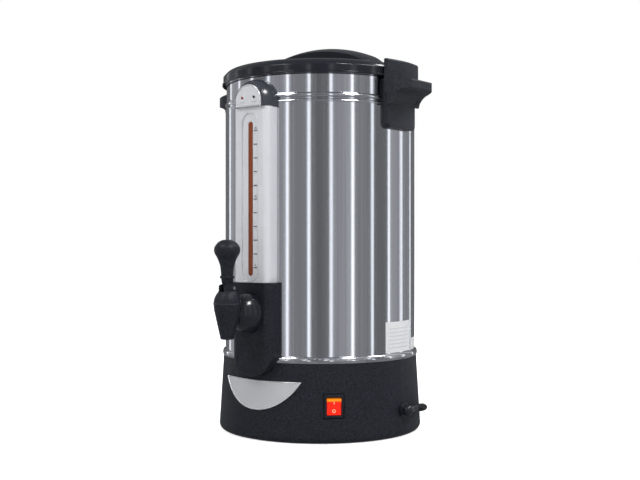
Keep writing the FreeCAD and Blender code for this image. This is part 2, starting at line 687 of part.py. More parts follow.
def handle_right():
    """The right handle: a plate on the drum, a block beside the lid and a grip shelf between."""
    inner, top = LIP_R + 1, HANDLE_Z1
    plate = turned((120, 400), (PLATE_OUT, 400), (PLATE_OUT, 479), (120, 479))
    plate = plate.common(rounded_column(HANDLE_HALF, 8, HANDLE_Z0, 490)).cut(drum_core())
    plate = plate.cut(Part.makeCylinder(inner, 60, V(0, 0, SKIRT_Z - 2.5)))
    upper = turned(
        (inner, BLOCK_Z0), (BLOCK_OUT, BLOCK_Z0), (BLOCK_OUT, top - 3),
        ((BLOCK_OUT - 0.9, top - 0.9), (BLOCK_OUT - 3, top)),
        (inner + 1, top), (inner, top - 1))
    upper = upper.common(rounded_column(BLOCK_HALF, 5, BLOCK_Z0, top + 5))
    root, tip = PLATE_OUT - 3, SHELF_OUT
    shelf_side = face(
        rz, (root, 479.5), (BLOCK_OUT, 479.5), (tip - 2, 475.8), ((tip, 474.6), (tip + 0.6, 472)),
        (tip + 0.4, 466), ((tip - 1, 463.4), (tip - 4, 462.8)), (154, 459.5),
        ((148, 455.4), (PLATE_OUT, 444)), (root, 444))
    shelf_side.translate(V(0, -60, 0))
    profile = shelf_side.extrude(V(0, 120, 0))
    wide, narrow = BLOCK_HALF, SHELF_TIP_HALF
    shelf_plan = face(
        lambda x, y: V(x, y, 400), (120, -wide), (144, -wide), ((158, -wide + 1.8), (tip - 2.5, -narrow - 4)),
        ((tip + 0.5, -narrow + 1), (tip + 1, -narrow + 6)), ((tip + 1.9, 0), (tip + 1, narrow - 6)),
        ((tip + 0.5, narrow - 1), (tip - 2.5, narrow + 4)), ((158, wide - 1.8), (144, wide)), (120, wide))
    shelf = profile.common(shelf_plan.extrude(V(0, 0, 120))).cut(Part.makeCylinder(root, 120, V(0, 0, 400)))
    scoop = Part.makeCylinder(8.5, 58, V(147, -29, 455.5), Y)
    return plate.fuse([upper, shelf]).cut(scoop).removeSplitter()


# Lid

def lid_shell():
    return turned(
        (LIP_R - 2.5, SKIRT_Z), (LIP_R - 0.4, SKIRT_Z), (LIP_R, SKIRT_Z + 0.5), (LIP_R, SKIRT_Z + 2.2),
        (SKIRT_R, SKIRT_Z + 3.2), (SKIRT_R - 0.1, 492.6), ((SKIRT_R - 0.4, 493.5), (SKIRT_R - 1.3, 493.8)),
        ((131.5, 498.9), (124, 501.8)), (121, 501.9), (120.3, 500.6), (118.8, 500.6), (118.2, LID_TOP),
        (0, LID_TOP), (0, LID_TOP - 2.6), (117, LID_TOP - 2.6), (128, 494.5),
        (129, 490), (129, 476), (131, 476), (131, LID_SEAT_Z), (LIP_R - 2.5, LID_SEAT_Z))


def lid_liner():
    """The steel disc under the lid, inside its locating ring."""
    return turned(
        (0, 492.2), (1, 492.2), ((60, 491.6), (121, 489)), (129, 489), (129, 490), (122, 490),
        ((60, 492.6), (1, 493.2)), (0, 493.2))


def lid_grip():
    """The arched bar across the lid, with a crowned top, flat sides and rounded ends."""
    depth, crown = GRIP_DEPTH / 2, GRIP_TOP - GRIP_CROWN
    section = face(
        lambda y, z: V(0, y, z), (-depth, 440), (-depth, crown), ((0, GRIP_TOP), (depth, crown)), (depth, 440))
    axis_z = GRIP_TOP - GRIP_ARCH_R
    arch = section.revolve(V(0, 0, axis_z), Y, 30).fuse(section.revolve(V(0, 0, axis_z), Y, -30))
    half = GRIP_HALF
    ends = face(
        front, (-half, LID_TOP), ((-half + 3.2, 512), (-half + 13, 520.5)), ((0, 560), (half - 13, 520.5)),
        ((half - 3.2, 512), (half, LID_TOP)))
    return arch.common(pushed(ends, -60, 60)).removeSplitter()


def lid_seal():
    """The silicone ring on the lid's locating ring, clear of the drum's neck."""
    return turned((131, 477), (131.35, 477.6), (131.35, 480.4), (131, 481))


def main():
    os.makedirs("parts", exist_ok=True)
    right = handle_right()
    pieces = {
        "base_shell": base_shell(),
        "base_plate": base_plate(),
        "badge_plate": badge_plate(),
        "switch_housing": switch_housing(),
        "switch_rocker": switch_rocker(),
        "cord_gland": cord_gland(),
        "cord": cord_run(),
        "cord_coil": cord_coil(),
        "cord_tail": cord_tail(),
        "plug_body": plug_body(),
        "plug_pin_1": plug_pin(-9.5),
        "plug_pin_2": plug_pin(9.5),
        "tank_body": tank_body(),
        "tank_floor": tank_floor(),
        "heat_plate": heat_plate(),
        "heating_element": heating_element(),
        "boil_thermostat": thermostat(150),
        "warm_thermostat": thermostat(180),
        "dry_cutout": thermostat(210),
        "terminal_block": terminal_block(),
        "gauge_trim": gauge_trim(),
        "sight_tube": sight_tube(),
        "level_strip": level_strip(),
        "tube_elbow": tube_elbow(),
        "tube_cap": tube_cap(),
        "gauge_cap": gauge_cap(),
        "gauge_cap_plate": gauge_cap_plate(),
        "lamp_heat": lamp(-LAMP_X),
        "lamp_ready": lamp(LAMP_X),
        "tap_shroud": tap_shroud(),
        "tap_body": tap_body(),
        "tap_nose": tap_nose(),
        "tap_shank": tap_shank(),
        "shank_nut": shank_nut(),
        "shank_seal": shank_seal(),
        "tap_bonnet": tap_bonnet(),
        "lever_pin": lever_pin(),
        "tap_lever": tap_lever(),
        "valve_stem": valve_stem(),
        "seat_cup": seat_cup(),
        "tap_spring": tap_spring(),
        "handle_right": right,
        "handle_left": mirrored(right),
        "lid_shell": lid_shell(),
        "lid_liner": lid_liner(),
        "lid_grip": lid_grip(),
        "lid_seal": lid_seal(),
    }
    for name, shape in pieces.items():
        if not shape.isValid() or len(shape.Solids) != 1:
            print(f"look at {name}: valid {shape.isValid()}, solids {len(shape.Solids)}")
        solid = shape.Solids[0] if len(shape.Solids) == 1 else shape
        solid.exportStep(f"parts/{name}.step")
    print(f"{len(pieces)} pieces")


main()
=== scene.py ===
# %% [markdown]
# This file finishes the looks of a hot water urn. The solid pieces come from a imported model, in
# metres, with +Z up, the tap towards -Y and the origin on the drum's axis at the table.
# Loading gives every piece as a mesh in its final place, so nothing here moves or resizes one.

# %% Load the solid pieces
import json
import math

import bpy
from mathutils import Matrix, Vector


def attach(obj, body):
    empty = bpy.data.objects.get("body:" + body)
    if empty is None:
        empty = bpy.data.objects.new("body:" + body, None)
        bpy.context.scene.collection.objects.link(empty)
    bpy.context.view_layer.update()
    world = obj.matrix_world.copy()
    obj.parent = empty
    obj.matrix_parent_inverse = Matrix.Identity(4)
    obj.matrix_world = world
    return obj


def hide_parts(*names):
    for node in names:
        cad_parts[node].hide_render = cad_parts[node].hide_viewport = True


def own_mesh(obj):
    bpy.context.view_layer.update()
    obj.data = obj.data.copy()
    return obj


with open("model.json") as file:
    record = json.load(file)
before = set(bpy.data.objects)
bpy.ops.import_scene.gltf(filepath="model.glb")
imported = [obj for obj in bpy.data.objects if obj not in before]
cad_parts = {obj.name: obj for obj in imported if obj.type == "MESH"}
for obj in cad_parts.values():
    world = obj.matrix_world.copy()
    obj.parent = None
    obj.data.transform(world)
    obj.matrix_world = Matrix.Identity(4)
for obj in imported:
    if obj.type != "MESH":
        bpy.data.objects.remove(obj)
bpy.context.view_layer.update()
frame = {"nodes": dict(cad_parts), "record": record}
nodes = frame["nodes"]
bpy.ops.object.select_all(action="DESELECT")
print("pieces loaded:", len(nodes))

# %% [markdown]
# The driving sizes are the ones that the solids were built from. A handful of them places
# everything that is added below: the gauge's printed scale, the labels, the cord and the marks.

# %% Sizes of the real object
DRUM_R = 0.134
GAUGE_FACE = 0.1502
MARK_FIRST, MARK_STEP, MARK_COUNT = 0.228, 0.0179, 11
TAP_Y, SEAM_Z, SEAM_R = -0.1946, 0.1828, 0.0175
SWITCH_ANGLE, SWITCH_Z, SWITCH_OUT = math.radians(45), 0.0489, 0.1391
CORD_R = 0.0033
MM = 0.001

# %% [markdown]
# The camera stands at the photograph's viewing angle: level with the middle of the drum, 37.5
# degrees round from the front towards the right handle, about a metre and a half away.

# %% Camera
CAMERA_TURN = math.radians(37.5)
CAMERA_AWAY, CAMERA_HIGH = 1.474, 0.264
camera_data = bpy.data.cameras.new("camera")
camera_data.sensor_width = 36
camera_data.lens = 58.16
camera = bpy.data.objects.new("camera", camera_data)
camera.location = (
    CAMERA_AWAY * math.sin(CAMERA_TURN), -CAMERA_AWAY * math.cos(CAMERA_TURN), CAMERA_HIGH)
camera.rotation_euler = (math.radians(90), 0, CAMERA_TURN)
bpy.context.scene.collection.objects.link(camera)
bpy.context.scene.camera = camera

# %% [markdown]
# A mains cord is one flexible length, so it is one smooth curve. The points below are the route:
# out of the gland, round behind the base, down to the table and into a flat coil.
# The coil is wound by a loop: in along the table, up in half a turn, out again on top.

# %% The cord's route
EXIT_TURN = math.radians(100)
EXIT = Vector((math.cos(EXIT_TURN), math.sin(EXIT_TURN), 0))
KNUCKLE = Vector((0.148, 0, 0.0364))
CORD_START = KNUCKLE + EXIT * 0.026
PLUG_WAY = Vector((-24, -7, 0)).normalized()
PLUG_BACK = Vector((-0.254, 0.194, 0.0192))
COIL_AT = Vector((-0.122, 0.166, 0))
COIL_R, COIL_PITCH, COIL_TURNS, LAYER_STEP = 0.044, 0.0076, 5.0, 0.0071
LEAD = Vector((-2 * CORD_R, 0, 0))
COIL_FIRST = COIL_AT + Vector((0, COIL_R, CORD_R))
COIL_LAST = COIL_FIRST + Vector((0, 0, LAYER_STEP))


def coil_point(turns):
    middle = COIL_TURNS / 2
    r = COIL_R - COIL_PITCH * (middle - abs(turns - middle))
    climb = min(max((turns - middle + 0.25) / 0.5, 0), 1)
    angle = 2 * math.pi * (turns + 0.25)
    z = CORD_R + LAYER_STEP * climb
    return COIL_AT + Vector((r * math.cos(angle), r * math.sin(angle), z))


PER_TURN = 14
to_coil = [
    (126, 82, 28), (103, 111, 19), (71, 135, 11), (32, 153, 6), (-6, 166, 4),
    (-40, 182, 3.5), (-68, 200, 3.4), (-92, 210, 3.3)]
to_plug = [(-153, 210, 10.6), (-178, 207.5, 13), (-203, 205, 16.5)]
route = [CORD_START, CORD_START + EXIT * 0.024]
route += [Vector(p) * MM for p in to_coil]
route += [COIL_FIRST - LEAD]
route += [coil_point(k / PER_TURN) for k in range(1, int(COIL_TURNS * PER_TURN))]
route += [COIL_LAST + LEAD]
route += [Vector(p) * MM for p in to_plug]
route += [PLUG_BACK - PLUG_WAY * 0.025, PLUG_BACK]

# %% The cord itself
cord_curve = bpy.data.curves.new("flex", "CURVE")
cord_curve.dimensions = "3D"
line = cord_curve.splines.new("NURBS")
line.points.add(len(route) - 1)
for point, place in zip(line.points, route):
    point.co = (*place, 1)
    point.radius = CORD_R
line.order_u = 3
line.use_endpoint_u = True
line.resolution_u = 5
cord_curve.bevel_depth = 1
cord_curve.bevel_resolution = 4
cord_curve.use_fill_caps = True
flex = bpy.data.objects.new("flex", cord_curve)
bpy.context.scene.collection.objects.link(flex)
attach(flex, "urn")
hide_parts("cord", "cord_coil", "cord_tail")
print("points on the cord's route:", len(route))

# %% [markdown]
# A material is a small graph of nodes. These helpers keep each graph short: one makes an empty
# material with its main shader, one adds a node with its settings, one a texture that is
# stretched along chosen axes of the object's own coordinates.

# %% Helpers for materials


def finish(name, colour, rough, metal=0.0, **sockets):
    """A new material with its main shader, whose plain sockets are set here."""
    material = bpy.data.materials.new(name)
    material.use_nodes = True
    shader = material.node_tree.nodes["Principled BSDF"]
    shader.inputs["Base Color"].default_value = (*colour, 1)
    shader.inputs["Roughness"].default_value = rough
    shader.inputs["Metallic"].default_value = metal
    for socket, value in sockets.items():
        shader.inputs[socket.replace("_", " ")].default_value = value
    return material, shader


def add(material, kind, **settings):
    node = material.node_tree.nodes.new("ShaderNode" + kind)
    for key, value in settings.items():
        if key in node.inputs:
            node.inputs[key].default_value = value
        else:
            setattr(node, key, value)
    return node


def join(material, out, into):
    material.node_tree.links.new(out, into)


def grain(material, scale, stretch=(1, 1, 1), detail=3.0):
    """A noise on object coordinates, stretched where its scale is small."""
    where = add(material, "TexCoord")
    mapping = add(material, "Mapping", Scale=stretch)
    noise = add(material, "TexNoise", Scale=scale, Detail=detail)
    join(material, where.outputs["Object"], mapping.inputs["Vector"])
    join(material, mapping.outputs["Vector"], noise.inputs["Vector"])
    return noise.outputs["Fac"]


def spread(material, value, low, high):
    """Maps a noise from its usual range to another."""
    node = add(material, "MapRange")
    node.inputs["From Min"].default_value = 0.3
    node.inputs["From Max"].default_value = 0.7
    node.inputs["To Min"].default_value = low
    node.inputs["To Max"].default_value = high
    join(material, value, node.inputs["Value"])
    return node.outputs["Result"]


def tint(material, value, dark, light):
    ramp = add(material, "ValToRGB")
    ramp.color_ramp.elements[0].position = 0.3
    ramp.color_ramp.elements[1].position = 0.7
    ramp.color_ramp.elements[0].color = (*dark, 1)
    ramp.color_ramp.elements[1].color = (*light, 1)
    join(material, value, ramp.inputs["Fac"])
    return ramp.outputs["Color"]


def roughen(material, shader, height, distance, strength=1.0, edge=0.0):
    """Bumps the surface by a height, and rounds its edges by a small radius."""
    bump = add(material, "Bump", Strength=strength, Distance=distance)
    join(material, height, bump.inputs["Height"])
    if edge:
        rounded = add(material, "Bevel", samples=4, Radius=edge)
        join(material, rounded.outputs["Normal"], bump.inputs["Normal"])
    join(material, bump.outputs["Normal"], shader.inputs["Normal"])


# %% [markdown]
# The base, shroud, tap and handles are one family: a charcoal moulding with a fine spark-eroded
# grain. The grain is a tight noise used three ways: as relief, as a small change of gloss and
# as a faint change of colour, with a soft, larger mottling where hands have polished it.

# %% Grained black plastic


def grained_black(name, colour, rough, edge=0.0012):
    material, shader = finish(name, colour, rough)
    fine = grain(material, 520, detail=4)
    broad = grain(material, 18)
    shader.inputs["Specular IOR Level"].default_value = 0.2
    join(material, spread(material, broad, rough - 0.05, rough + 0.06), shader.inputs["Roughness"])
    darker = tuple(c * 0.45 for c in colour)
    lighter = tuple(c * 1.6 for c in colour)
    join(material, tint(material, fine, darker, lighter), shader.inputs["Base Color"])
    roughen(material, shader, fine, 0.00025, 0.7, edge)
    return material


black_plastic = grained_black("black_plastic", (0.0125, 0.015, 0.021), 0.44)
# The handles get a lighter copy of the same moulding: painted light, for the light that falls on
# their tops and right sides.
handle_plastic_painted_light = grained_black("handle_plastic_painted_light", (0.021, 0.0235, 0.03), 0.4)
rubber = grained_black("rubber", (0.009, 0.0095, 0.012), 0.45, 0)


# %% Glossy black and satin grey plastic


def smooth_plastic(name, colour, rough, edge=0.0008):
    material, shader = finish(name, colour, rough)
    film = grain(material, 30, detail=5)
    join(material, spread(material, film, rough * 0.8, rough * 1.35), shader.inputs["Roughness"])
    roughen(material, shader, grain(material, 220), 0.00004, 0.5, edge)
    return material


gloss_black = smooth_plastic("gloss_black", (0.01, 0.012, 0.017), 0.16)
grey_plastic = smooth_plastic("grey_plastic", (0.035, 0.039, 0.05), 0.22)
grey_print, _ = finish("grey_print", (0.3, 0.31, 0.33), 0.5)

# %% [markdown]
# The drum is rolled from brushed stainless sheet. The brushing runs up and down, which is why
# the studio's lights turn into long upright bars. Two noises that hardly change along Z make it:
# a fine one for the hairlines, and a broad one that paints upright lighter and darker bands into
# the colour: partly the sheet's own uneven tone, partly painted reflection bars.

# %% Brushed stainless


def brushed(name, dark, light, rough, fine=900):
    material, shader = finish(name, light, rough, 1.0, Anisotropic=0.35)
    lines = grain(material, fine, (1, 1, 0.004), 4)
    # Broad upright bands in the colour: partly the sheet's own tone, partly painted reflection
    # bars.
    tone_and_reflection_bands = grain(material, 48, (1, 1, 0.001), 2)
    colour = tint(material, tone_and_reflection_bands, dark, light)
    shade = add(material, "Mix", data_type="RGBA", blend_type="MULTIPLY")
    shade.inputs["Factor"].default_value = 0.4
    join(material, colour, shade.inputs["A"])
    join(material, tint(material, lines, (0.7, 0.71, 0.73), (1, 1, 1)), shade.inputs["B"])
    join(material, shade.outputs["Result"], shader.inputs["Base Color"])
    join(material, spread(material, lines, rough - 0.02, rough + 0.03), shader.inputs["Roughness"])
    roughen(material, shader, lines, 0.000004, 0.25)
    return material


stainless = brushed("stainless", (0.62, 0.635, 0.67), (0.86, 0.875, 0.9), 0.09, 700)
steel = brushed("steel", (0.36, 0.37, 0.38), (0.6, 0.61, 0.62), 0.32, 500)
aluminium = brushed("aluminium", (0.5, 0.5, 0.52), (0.72, 0.72, 0.74), 0.38, 500)
brass = brushed("brass", (0.6, 0.57, 0.5), (0.76, 0.73, 0.66), 0.22, 700)


# %% Silver painted plastic


def silver(name, colour, rough):
    material, shader = finish(name, colour, rough, 0.25)
    flake = grain(material, 2600, detail=1)
    darker = tuple(c * 0.88 for c in colour)
    join(material, tint(material, flake, darker, colour), shader.inputs["Base Color"])
    gloss = spread(material, grain(material, 25), rough - 0.04, rough + 0.05)
    join(material, gloss, shader.inputs["Roughness"])
    roughen(material, shader, flake, 0.00003, 0.4, 0.0006)
    return material


silver_plastic = silver("silver_plastic", (0.73, 0.745, 0.775), 0.32)
badge_foil = silver("badge_foil", (0.56, 0.565, 0.58), 0.36)

# %% Small finishes
silicone, silicone_shader = finish("silicone", (0.72, 0.71, 0.67), 0.45)
roughen(silicone, silicone_shader, grain(silicone, 700), 0.0001, 0.5)
glass, glass_shader = finish("glass", (0.22, 0.046, 0.012), 0.3, Alpha=0.85, IOR=1.47)
roughen(glass, glass_shader, grain(glass, 60), 0.00002, 0.3)
rust_strip, rust_shader = finish("rust_strip", (0.5, 0.15, 0.05), 0.4)
rust_noise = grain(rust_strip, 260, (1, 1, 0.15))
rust_colours = tint(rust_strip, rust_noise, (0.36, 0.075, 0.02), (0.55, 0.135, 0.04))
join(rust_strip, rust_colours, rust_shader.inputs["Base Color"])
dark_lens, _ = finish("dark_lens", (0.012, 0.012, 0.014), 0.12)
bright_rim, rim_shader = finish("bright_rim", (0.86, 0.87, 0.89), 0.16, 0.7)
roughen(bright_rim, rim_shader, grain(bright_rim, 400), 0.00001, 0.3)
paper, _ = finish("paper", (0.6, 0.605, 0.615), 0.5)
# Black ink for the printed scale, also used as painted shade in the screws' slots.
ink_and_slot_shade, _ = finish("ink_and_slot_shade", (0.03, 0.03, 0.035), 0.5)
pale_print, _ = finish("pale_print", (0.85, 0.72, 0.45), 0.5)

# %% [markdown]
# The rocker is a translucent red cap with a neon lamp behind its upper end, so it is brighter
# there. The glow is a ramp along Z on the object's own coordinates, mixed into a weak emission.

# %% Lit red plastic


def lit_red(name, low, high, glow):
    material, shader = finish(name, (0.62, 0.035, 0.02), 0.3, Specular_IOR_Level=0.2)
    where = add(material, "TexCoord")
    axes = add(material, "SeparateXYZ")
    up = add(material, "MapRange")
    up.inputs["From Min"].default_value = low
    up.inputs["From Max"].default_value = high
    colours = add(material, "ValToRGB")
    colours.color_ramp.elements[0].color = (0.66, 0.012, 0.002, 1)
    colours.color_ramp.elements[1].color = (1.0, 0.24, 0.006, 1)
    colours.color_ramp.elements[1].position = 0.86
    middle = colours.color_ramp.elements.new(0.76)
    middle.color = (0.66, 0.012, 0.003, 1)
    join(material, where.outputs["Object"], axes.inputs["Vector"])
    join(material, axes.outputs["Z"], up.inputs["Value"])
    join(material, up.outputs["Result"], colours.inputs["Fac"])
    join(material, colours.outputs["Color"], shader.inputs["Base Color"])
    join(material, colours.outputs["Color"], shader.inputs["Emission Color"])
    shader.inputs["Emission Strength"].default_value = glow
    roughen(material, shader, grain(material, 300), 0.00003, 0.4, 0.0005)
    return material


red_lens = lit_red("red_lens", SWITCH_Z - 0.011, SWITCH_Z + 0.011, 0.55)
red_lamp, red_lamp_shader = finish("red_lamp", (0.22, 0.012, 0.01), 0.15)

# %% Give every solid piece its finish
finishes = {
    "black_plastic": black_plastic, "gloss_black": gloss_black, "stainless": stainless,
    "silver_plastic": silver_plastic, "grey_plastic": grey_plastic, "aluminium": aluminium,
    "steel": steel, "rubber": rubber, "silicone": silicone, "glass": glass,
    "rust_strip": rust_strip, "red_lens": red_lens, "dark_lens": dark_lens, "brass": brass}
for entry in frame["record"]["subparts"]:
    piece = nodes[entry["node"]]
    for material_slot in piece.material_slots:
        material_slot.material = finishes[entry["material_slot"]]
nodes["lamp_heat"].material_slots[0].material = red_lamp
nodes["badge_plate"].material_slots[0].material = badge_foil
# The handles take the lighter copy of the black moulding; its extra lightness is painted light.
for side in ("handle_right", "handle_left"):
    nodes[side].material_slots[0].material = handle_plastic_painted_light
flex.data.materials.append(rubber)
print("finishes in use:", len(finishes))

# %% [markdown]
# Added pieces are built at the origin's frame and keep their place in their mesh. This helper
# ends each one: it applies the transform, smooths it, gives it its finish and ties it to a body.

# %% Helpers for added pieces


def only(piece):
    bpy.ops.object.select_all(action="DESELECT")
    piece.select_set(True)
    bpy.context.view_layer.objects.active = piece


def settle(piece, name, material, body="urn", smooth=35):
    only(piece)
    bpy.ops.object.transform_apply(location=True, rotation=True, scale=True)
    bpy.ops.object.shade_smooth_by_angle(angle=math.radians(smooth))
    piece.name = name
    piece.data.materials.clear()
    piece.data.materials.append(material)
    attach(piece, body)
    return piece


def soften(piece, width, segments=2):
    """Rounds a piece's edges for good."""
    only(piece)
    bevel = piece.modifiers.new("round", "BEVEL")
    bevel.width = width
    bevel.segments = segments
    bevel.limit_method = "ANGLE"
    bpy.ops.object.modifier_apply(modifier=bevel.name)


def slab(centre, size, turn=0.0, rounded=0.0):
    bpy.ops.mesh.primitive_cube_add(size=1, location=centre, rotation=(0, 0, turn))
    piece = bpy.context.active_object
    piece.scale = size
    bpy.ops.object.transform_apply(location=False, rotation=False, scale=True)
    if rounded:
        soften(piece, rounded)
    return piece


def lettering(text, height, centre, turn, lean=0.0):
    """Raised figures, standing upright and facing outwards."""
    bpy.ops.object.text_add(location=centre, rotation=(math.radians(90) + lean, 0, turn))
    piece = bpy.context.active_object
    piece.data.body = text
    piece.data.size = height
    piece.data.extrude = 0.00008
    piece.data.align_x = "CENTER"
    piece.data.align_y = "CENTER"
    piece.data.resolution_u = 3
    bpy.ops.object.convert(target="MESH")
    return bpy.context.active_object


# %% [markdown]
# The gauge's scale is printed on the recessed panel beside the slot: a short dash for every
# litre from five to fifteen, with the figures beside the first, middle and last.

# %% Printed litre scale
for k in range(MARK_COUNT):
    z = MARK_FIRST + k * MARK_STEP
    dash = slab((0.0088, -GAUGE_FACE, z), (0.0062, 0.0002, 0.0009))
    settle(dash, f"litre_dash_{k + 5}", ink_and_slot_shade)
for litres in (5, 10, 15):
    z = MARK_FIRST + (litres - 5) * MARK_STEP + 0.0034
    figure = lettering(str(litres), 0.0038, (0.0088, -GAUGE_FACE, z), 0)
    settle(figure, f"litre_figure_{litres}", ink_and_slot_shade)

# %% [markdown]
# The rocker carries a stroke and a ring, one at each end, printed in a pale colour. They ride on
# the rocker, so they tilt with it.

# %% Marks on the rocker
out = Vector((math.sin(SWITCH_ANGLE), -math.cos(SWITCH_ANGLE), 0))
ROCKER_TILT = math.radians(7)
stroke_at = out * (SWITCH_OUT + 0.0014) + Vector((0, 0, SWITCH_Z + 0.0052))
stroke = slab(stroke_at, (0.0009, 0.0004, 0.0034), SWITCH_ANGLE)
settle(stroke, "rocker_mark_on", pale_print, "rocker")
bpy.ops.mesh.primitive_torus_add(
    major_radius=0.0019, minor_radius=0.00045, major_segments=40, minor_segments=8,
    location=out * (SWITCH_OUT - 0.0002) + Vector((0, 0, SWITCH_Z - 0.0062)),
    rotation=(math.radians(90) + ROCKER_TILT, 0, SWITCH_ANGLE))
settle(bpy.context.active_object, "rocker_mark_off", pale_print, "rocker", smooth=60)

# %% [markdown]
# The badge on the base and the plate over the gauge both end in a thin, bright, rolled edge. A
# ring of points is bent to the outline, turned into a curve to get a round section, and made a
# mesh again. The two outlines are written as functions of how far round the ring a point is.

# %% Rolled edges


def rolled_edge(name, outline, count, thick, material):
    bpy.ops.mesh.primitive_circle_add(vertices=count, radius=0.05, fill_type="NOTHING")
    edge = bpy.context.active_object
    for k, vertex in enumerate(edge.data.vertices):
        vertex.co = outline(k / count)
    only(edge)
    bpy.ops.object.convert(target="CURVE")
    edge = bpy.context.active_object
    edge.data.bevel_depth = thick
    edge.data.bevel_resolution = 2
    bpy.ops.object.convert(target="MESH")
    return settle(bpy.context.active_object, name, material, smooth=60)


def badge_outline(share):
    """The half disc: its straight top first, then the arc below, laid on the base's cone."""
    half, top, arc_r = 0.0631, 0.0789, 0.0717
    middle = top - 0.0375 + arc_r
    reach = math.asin(half / arc_r)
    if share < 0.4:
        x, z = -half + 2 * half * share / 0.4, top
    else:
        turn = reach - 2 * reach * (share - 0.4) / 0.6
        x, z = arc_r * math.sin(turn), middle - arc_r * math.cos(turn)
    r = 0.1422 - 0.0614 * (z - 0.0075) + 0.0011
    return (x, -math.sqrt(r * r - x * x), z)


def plate_outline(share):
    """The gauge's plate: a flat foot, upright sides and a half-round top."""
    half, foot, straight = 0.0209, 0.439, 0.446
    if share <= 0.3:
        return (-half + 2 * half * share / 0.3, -0.1545, foot)
    if 0.35 <= share <= 0.95:
        turn = math.pi * (share - 0.35) / 0.6
        return (half * math.cos(turn), -0.1545, straight + half * math.sin(turn))
    return (half if share < 0.5 else -half, -0.1545, (foot + straight) / 2)


def recess_outline(share):
    """The recess round the slot: two upright sides between half-round ends."""
    half, low, high = 0.0141, 0.2229, 0.4166
    turn = 2 * math.pi * share
    middle = high if share < 0.5 else low
    return (half * math.cos(turn), -0.15095, middle + half * math.sin(turn))


rolled_edge("badge_edge", badge_outline, 120, 0.0007, bright_rim)
rolled_edge("plate_edge", plate_outline, 100, 0.0009, bright_rim)
# The ring round the recess is a painted highlight: a bright rim where the recess's own silver edge
# only catches the light.
rolled_edge("recess_highlight_ring", recess_outline, 80, 0.00028, bright_rim)

# %% [markdown]
# A thin amber window fills the slot just under the recess's face, so the level reads as one
# rust-brown bar from every side. It is the slot's own outline, pulled back into a plate.

# %% Amber window of the gauge
bpy.ops.mesh.primitive_circle_add(vertices=48, radius=0.003, fill_type="NGON")
window = bpy.context.active_object
for k, vertex in enumerate(window.data.vertices):
    turn = 2 * math.pi * (k + 0.5) / 48
    middle = 0.4153 if k < 24 else 0.2208
    vertex.co = (0.00375 * math.cos(turn), -0.1498, middle + 0.00375 * math.sin(turn))
bpy.ops.object.mode_set(mode="EDIT")
bpy.ops.mesh.select_all(action="SELECT")
bpy.ops.mesh.extrude_region_move(TRANSFORM_OT_translate={"value": (0, 0.0014, 0)})
bpy.ops.mesh.select_all(action="SELECT")
bpy.ops.mesh.normals_make_consistent(inside=False)
bpy.ops.object.mode_set(mode="OBJECT")
soften(window, 0.0004)
settle(window, "gauge_window", glass)

# %% [markdown]
# Each lamp sits in a small bright collar. Under the lamps the real plate has a short printed
# word each; here a thin grey rule stands for it.

# %% Lamp collars
for side, x in (("left", -0.010), ("right", 0.010)):
    bpy.ops.mesh.primitive_torus_add(
        major_radius=0.0021, minor_radius=0.00035, major_segments=40, minor_segments=8,
        location=(x, -0.1546, 0.4504), rotation=(math.radians(90), 0, 0))
    ring = bpy.context.active_object
    settle(ring, "lamp_collar_" + side, bright_rim, smooth=60)
    rule = slab((x, -0.15452, 0.4441), (0.0085, 0.0001, 0.0006))
    settle(rule, "lamp_rule_" + side, grey_print)

# %% [markdown]
# A thin light line shows where the bonnet screws onto the tap's barrel. It is a slim ring round
# the tap's axis, sunk by all but a hair, because at this size a full bead would look too proud.

# %% Ring at the tap's seam
SEAM_THICK = 0.0006
bpy.ops.mesh.primitive_torus_add(
    major_radius=SEAM_R - 0.0002, minor_radius=SEAM_THICK, major_segments=96, minor_segments=8,
    location=(0, TAP_Y, SEAM_Z))
settle(bpy.context.active_object, "tap_seam_ring", grey_plastic)

# %% [markdown]
# The lever has a flat eight-sided collar where its neck meets the fork. It is a short cylinder of
# eight sides, inset on top and drawn up a little, with its edges rounded. It rides on the lever.

# %% Collar of the lever
COLLAR_R, COLLAR_HIGH, COLLAR_Z = 0.0099, 0.0028, 0.2164
bpy.ops.mesh.primitive_cylinder_add(
    vertices=8, radius=COLLAR_R, depth=COLLAR_HIGH, location=(0, TAP_Y, COLLAR_Z),
    rotation=(0, 0, math.radians(22.5)))
collar = bpy.context.active_object
bpy.ops.object.mode_set(mode="EDIT")
bpy.ops.mesh.select_all(action="DESELECT")
bpy.ops.object.mode_set(mode="OBJECT")
for polygon in collar.data.polygons:
    polygon.select = polygon.normal.z > 0.9
bpy.ops.object.mode_set(mode="EDIT")
bpy.ops.mesh.inset(thickness=0.0016, depth=0.0007)
bpy.ops.object.mode_set(mode="OBJECT")
soften(collar, 0.0004)
settle(collar, "lever_collar", black_plastic, "lever")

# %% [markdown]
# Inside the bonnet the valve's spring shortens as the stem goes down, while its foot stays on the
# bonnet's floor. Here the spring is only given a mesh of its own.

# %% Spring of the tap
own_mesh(nodes["tap_spring"])

# %% [markdown]
# A soft pad fills the scoop under each grip, where the fingers pull. Its side view is a short
# bar whose lower line carries on the grip's own curve; the view is drawn once and pulled along Y.

